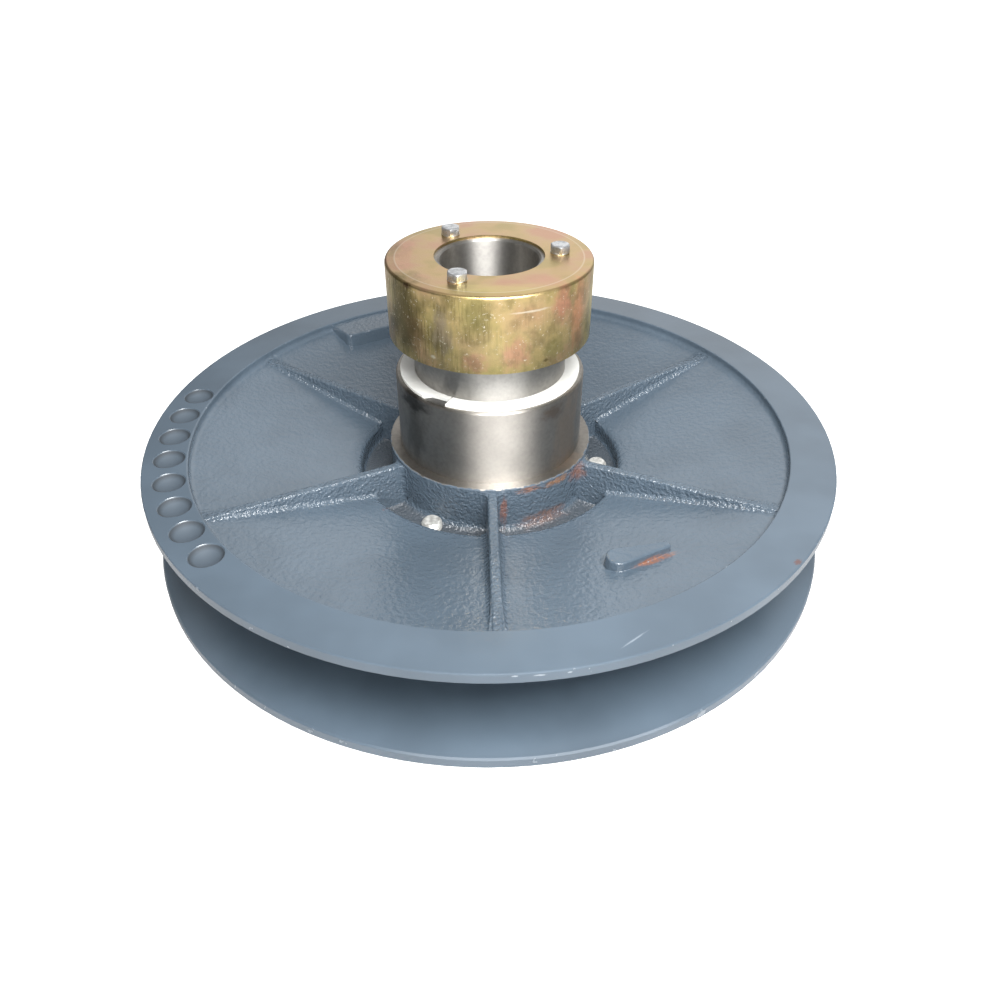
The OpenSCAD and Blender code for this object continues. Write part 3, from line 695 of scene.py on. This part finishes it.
class PULLEY_OT_make_drive_screws(bpy.types.Operator):
    """Make the sunk screws of the drive ring, whose ends stand out of the casting"""

    bl_idname = "pulley.make_drive_screws"
    bl_label = "Make drive screws"

    def execute(self, context):
        sizes = context.scene.pulley_screws
        low, top = DRIVE_SCREW_LOW * MM, DRIVE_SCREW_TOP * MM
        screw = cut_thread(sizes.drive_d, sizes.drive_pitch, low + MM, top)
        point_r = sizes.drive_d / 2 - 0.75 * sizes.drive_pitch
        combine(screw, turned_blank(low, top, point_r + top - low, point_r), "INTERSECT")
        head = turned_blank(low, low + sizes.drive_d / 2, sizes.drive_d, sizes.drive_d / 2 - 0.3 * MM)
        socket_r = 0.6 * sizes.drive_d / math.sqrt(3)
        combine(screw, head, "UNION")
        combine(screw, turned_blank(low - MM, low + 3 * MM, socket_r, socket_r, 6), "DIFFERENCE")
        bpy.ops.object.shade_smooth_by_angle(angle=math.radians(30))
        set_around(screw, "drive_screw", 3, sizes.drive_start, sizes.drive_circle, 0.0, "moving_half",
                   "drive_screws", dull_zinc())
        return {"FINISHED"}


class PULLEY_OT_set_stage(bpy.types.Operator):
    """Set the floor, the light and the camera"""

    bl_idname = "pulley.set_stage"
    bl_label = "Set stage"

    def execute(self, context):
        settings = context.scene.pulley_stage
        self.lay_floor(settings)
        self.light(context.scene, settings)
        self.aim_camera(context.scene, settings)
        context.scene.view_settings.view_transform = "Standard"
        return {"FINISHED"}

    def lay_floor(self, settings):
        bpy.ops.object.select_all(action="DESELECT")
        bpy.ops.mesh.primitive_plane_add(size=12.0)
        floor = bpy.context.object
        floor.name = "floor"
        material, tree, place = new_finish("white_paper")
        fibre = grains(tree, place, 3, 0.3, 0.7)
        colour = add(tree, "Mix", {0: fibre, 6: linear("#C6C6C6"), 7: linear("#CACACA")}, 2, data_type="RGBA")
        ray = add(tree, "LightPath", out="Is Camera Ray")
        glow = add(tree, "Math", {0: ray, 1: settings.glow}, operation="MULTIPLY")
        shader = add(tree, "BsdfPrincipled", {"Base Color": colour, "Roughness": 0.9,
                                              "Emission Color": (1, 1, 1, 1), "Emission Strength": glow})
        add(tree, "OutputMaterial", {"Surface": shader})
        floor.data.materials.append(material)

    def light(self, scene, settings):
        world = bpy.data.worlds.new("studio")
        world.use_nodes = True
        scene.world = world
        tree = world.node_tree
        tree.nodes.clear()
        # A bright white wall behind, a plain ceiling and dim sides, with a low wall on the right
        toward = add(tree, "TexCoord", out="Generated")
        level = add(tree, "VectorMath", {0: toward, 1: (1, 1, 0)}, operation="MULTIPLY")
        level = add(tree, "VectorMath", {0: level}, operation="NORMALIZE")
        depth = add(tree, "VectorMath", {0: level, 1: (0.276, 0.961, 0)}, "Value", operation="DOT_PRODUCT")
        height = add(tree, "SeparateXYZ", {0: toward}, "Z")
        behind = add(tree, "MapRange", {0: depth, 1: 0.80, 2: 0.97})
        low = add(tree, "MapRange", {0: height, 1: 0.60, 2: 0.82, 3: settings.backdrop, 4: 0.0})
        ceiling = add(tree, "MapRange", {0: height, 1: 0.1, 2: 0.9, 3: settings.sides, 4: settings.sky})
        strength = add(tree, "Math", {0: behind, 1: low, 2: ceiling}, operation="MULTIPLY_ADD")
        right = add(tree, "VectorMath", {0: level, 1: (0.94, -0.342, 0)}, "Value", operation="DOT_PRODUCT")
        right = add(tree, "MapRange", {0: right, 1: 0.55, 2: 0.90})
        wall = add(tree, "MapRange", {0: height, 1: 0.30, 2: 0.60, 3: settings.beside, 4: 0.0})
        strength = add(tree, "Math", {0: right, 1: wall, 2: strength}, operation="MULTIPLY_ADD")
        lit = add(tree, "Background", {0: (1, 1, 1, 1), 1: strength})
        seen = add(tree, "Background", {0: (1, 1, 1, 1), 1: 1.0})
        ray = add(tree, "LightPath", out="Is Camera Ray")
        add(tree, "OutputWorld", {0: add(tree, "MixShader", {0: ray, 1: lit, 2: seen})})
        # A soft light above on the right, and a wide low one behind the camera
        self.hang(scene, "window", settings.window, (0.42, 0.36), (0.09, -0.40, 0.62))
        self.hang(scene, "front", settings.front, (2.0, 0.5), (0.25, -1.25, 0.38))

    def hang(self, scene, name, power, size, place):
        panel = bpy.data.lights.new(name, "AREA")
        panel.shape = "RECTANGLE"
        panel.size, panel.size_y = size
        panel.energy = power
        lamp = bpy.data.objects.new(name, panel)
        scene.collection.objects.link(lamp)
        lamp.location = place
        lamp.rotation_euler = (Vector((0, 0, 0.08)) - lamp.location).to_track_quat("-Z", "Y").to_euler()
        lamp.visible_camera = False

    def aim_camera(self, scene, settings):
        data = bpy.data.cameras.new("camera")
        data.lens = settings.lens
        data.shift_y = settings.rise
        data.clip_start = 0.01
        camera = bpy.data.objects.new("camera", data)
        scene.collection.objects.link(camera)
        turn = Matrix.Rotation(settings.yaw, 4, "Z") @ Matrix.Rotation(math.pi / 2 - settings.pitch, 4, "X")
        turn = turn @ Matrix.Rotation(settings.roll, 4, "Z")
        camera.matrix_world = Matrix.Translation(settings.camera_place) @ turn
        scene.camera = camera


class PULLEY_PT_sidebar(bpy.types.Panel):
    """Lists the steps in the order in which they run"""

    bl_idname = "PULLEY_PT_sidebar"
    bl_label = "Pulley"
    bl_space_type = "VIEW_3D"
    bl_region_type = "UI"
    bl_category = "Pulley"

    def draw(self, context):
        for step in STEPS:
            self.layout.operator(step.bl_idname)


STEPS = (PULLEY_OT_enamel_castings, PULLEY_OT_finish_bushes, PULLEY_OT_plate_cup, PULLEY_OT_make_cup_screws,
         PULLEY_OT_make_drive_screws, PULLEY_OT_set_stage)
CLASSES = (FinishSettings, ScrewSettings, StageSettings) + STEPS + (PULLEY_PT_sidebar,)


def register():
    for cls in CLASSES:
        bpy.utils.register_class(cls)
    bpy.types.Scene.pulley_finish = PointerProperty(type=FinishSettings)
    bpy.types.Scene.pulley_screws = PointerProperty(type=ScrewSettings)
    bpy.types.Scene.pulley_stage = PointerProperty(type=StageSettings)


def unregister():
    del bpy.types.Scene.pulley_stage
    del bpy.types.Scene.pulley_screws
    del bpy.types.Scene.pulley_finish
    for cls in reversed(CLASSES):
        bpy.utils.unregister_class(cls)


def main():
    register()
    bpy.ops.pulley.enamel_castings()
    bpy.ops.pulley.finish_bushes()
    bpy.ops.pulley.plate_cup()
    bpy.ops.pulley.make_cup_screws()
    bpy.ops.pulley.make_drive_screws()
    bpy.ops.pulley.set_stage()


if __name__ == "__main__":
    main()
